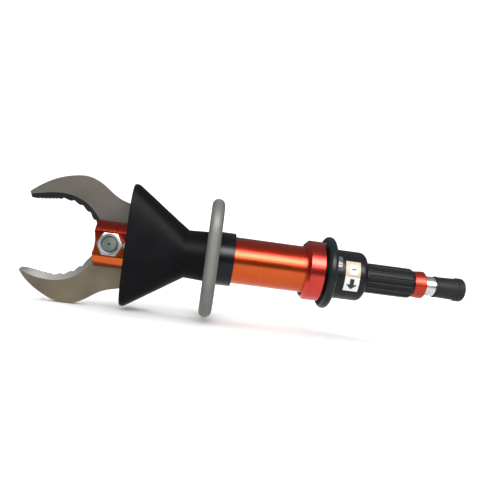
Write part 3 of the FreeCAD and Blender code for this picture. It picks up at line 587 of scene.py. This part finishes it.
# lamp places from the tool's middle, sizes in metres, powers in watts
KEY_PLACE = Vector((0.0, -1.05, 0.76))
KEY_SIZE, KEY_POWER = (2.4, 0.95), 17.0
CORE_SIZE, CORE_POWER = (2.2, 0.46), 22.0
CORE_NEARER = 0.02            # share of the way that the core stands in front of the softbox
WASH_POWER = 30.0
FLOOR_WASH_PLACE, FLOOR_WASH_SIZE = Vector((0.0, 0.0, 2.0)), (3.0, 3.0)
BACK_WASH_PLACE, BACK_WASH_SIZE = Vector((0.0, 0.9, 1.9)), (3.0, 0.6)
BACK_WASH_TARGET = Vector((0, BACK_Y, 0.6))


def floor_sheet(name, profile, material):
    """Sheet across the whole studio along a (y, height) profile; not seen in reflections."""
    bm = bmesh.new()
    centre_x = (CAD_BOX[0].x + CAD_BOX[1].x) / 2
    rows = []
    for y, z in profile:
        rows.append([bm.verts.new((centre_x + side * FLOOR_WIDTH / 2, y, FLOOR_Z + z))
                     for side in (-1, 1)])
    for low, high in zip(rows, rows[1:]):
        bm.faces.new((low[0], low[1], high[1], high[0]))
    sheet = finish_mesh(name, bm, material)
    sheet.visible_glossy = False


def backdrop():
    """Pale table that bends up into a backdrop."""
    pale = Shader("backdrop")
    cloud = pale.blend(pale.noise(2.0), rgb(0.90, 0.90, 0.90), rgb(0.92, 0.92, 0.92))
    material = pale.finish(cloud, 0.9)
    profile = [(FLOOR_FRONT, 0.0), (BACK_Y - BACK_BEND, 0.0)]
    for i in range(1, BACK_STEPS + 1):
        a = math.pi / 2 * i / BACK_STEPS
        profile.append((BACK_Y - BACK_BEND + BACK_BEND * math.sin(a),
                        BACK_BEND * (1 - math.cos(a))))
    floor_sheet("backdrop", profile + [(BACK_Y, BACK_HEIGHT)], material)


def world():
    """Even light on matt surfaces, and the surroundings that metal and gloss reflect."""
    studio = bpy.data.worlds.new("studio")
    studio.use_nodes = True
    bpy.context.scene.world = studio
    tree = studio.node_tree
    ray = tree.nodes.new("ShaderNodeLightPath")
    direction = tree.nodes.new("ShaderNodeTexCoord")
    height = tree.nodes.new("ShaderNodeSeparateXYZ")
    tree.links.new(direction.outputs["Generated"], height.inputs["Vector"])
    level = tree.nodes.new("ShaderNodeMapRange")
    level.inputs["From Min"].default_value = -1.0
    level.inputs["From Max"].default_value = 1.0
    tree.links.new(height.outputs["Z"], level.inputs["Value"])
    surroundings = tree.nodes.new("ShaderNodeValToRGB")
    surroundings.color_ramp.interpolation = "EASE"
    stops = surroundings.color_ramp.elements
    for stop, (z, shade) in zip((stops[0], stops[1]), (SURROUNDINGS[0], SURROUNDINGS[-1])):
        stop.position = (z + 1) / 2
        stop.color = rgb(shade, shade, shade)
    for z, shade in SURROUNDINGS[1:-1]:
        stops.new((z + 1) / 2).color = rgb(shade, shade, shade)
    tree.links.new(level.outputs["Result"], surroundings.inputs["Fac"])
    others = tree.nodes.new("ShaderNodeMix")
    others.inputs[NUMBER_A].default_value = WORLD_FILL
    tree.links.new(ray.outputs["Is Glossy Ray"], others.inputs[SHARE])
    tree.links.new(surroundings.outputs["Color"], others.inputs[NUMBER_B])
    seen = tree.nodes.new("ShaderNodeMix")
    seen.inputs[NUMBER_B].default_value = WORLD_SEEN
    tree.links.new(ray.outputs["Is Camera Ray"], seen.inputs[SHARE])
    tree.links.new(others.outputs[NUMBER_OUT], seen.inputs[NUMBER_A])
    background = tree.nodes["Background"]
    tree.links.new(seen.outputs[NUMBER_OUT], background.inputs["Strength"])
    background.inputs["Color"].default_value = rgb(1.0, 1.0, 1.0)
    bpy.context.scene.view_settings.view_transform = "Standard"


def lamp(name, place, target, size, power, glossy_only=False, diffuse_only=False):
    """Rectangular lamp aimed at target, unseen by the camera."""
    data = bpy.data.lights.new(name, "AREA")
    data.shape = "RECTANGLE"
    data.size, data.size_y = size
    data.energy = power
    lamp_object = bpy.data.objects.new(name, data)
    lamp_object.location = place
    lamp_object.rotation_mode = "QUATERNION"
    lamp_object.rotation_quaternion = (target - place).to_track_quat("-Z", "Y")
    lamp_object.visible_camera = False
    lamp_object.visible_diffuse = not glossy_only
    lamp_object.visible_glossy = not diffuse_only
    bpy.context.scene.collection.objects.link(lamp_object)


def lights():
    """A broad softbox above the camera, its brighter core, and two washes."""
    middle = (CAD_BOX[0] + CAD_BOX[1]) / 2
    above_camera = middle + KEY_PLACE
    lamp("key_softbox", above_camera, middle, KEY_SIZE, KEY_POWER)
    in_front = above_camera * (1 - CORE_NEARER) + middle * CORE_NEARER
    lamp("softbox_core", in_front, middle, CORE_SIZE, CORE_POWER, glossy_only=True)
    lamp("floor_wash", middle + FLOOR_WASH_PLACE, middle, FLOOR_WASH_SIZE, WASH_POWER,
         diffuse_only=True)
    lamp("back_wash", middle + BACK_WASH_PLACE, BACK_WASH_TARGET, BACK_WASH_SIZE, WASH_POWER,
         diffuse_only=True)


def camera():
    """Camera placed from the pivot, turned a little to the right and rolled."""
    data = bpy.data.cameras.new("camera")
    data.sensor_width = SENSOR
    data.lens = LENS
    data.clip_start = CLIP_START
    cam = bpy.data.objects.new("camera", data)
    bpy.context.scene.collection.objects.link(cam)
    forward = Vector((math.sin(CAMERA_YAW), math.cos(CAMERA_YAW), 0.0))
    flat_right = Vector((math.cos(CAMERA_YAW), -math.sin(CAMERA_YAW), 0.0))
    up = Vector((0, 0, 1)) * math.cos(CAMERA_ROLL) - flat_right * math.sin(CAMERA_ROLL)
    right = forward.cross(up)
    turn = Matrix((right, up, -forward)).transposed()
    place = Vector((PIVOT_X, 0, 0)) + CAMERA_FROM_PIVOT
    cam.matrix_world = Matrix.Translation(place) @ turn.to_4x4()
    bpy.context.scene.camera = cam


dress_nodes()
hood()
sleeve_marks()
backdrop()
world()
lights()
camera()

bpy.context.view_layer.update()
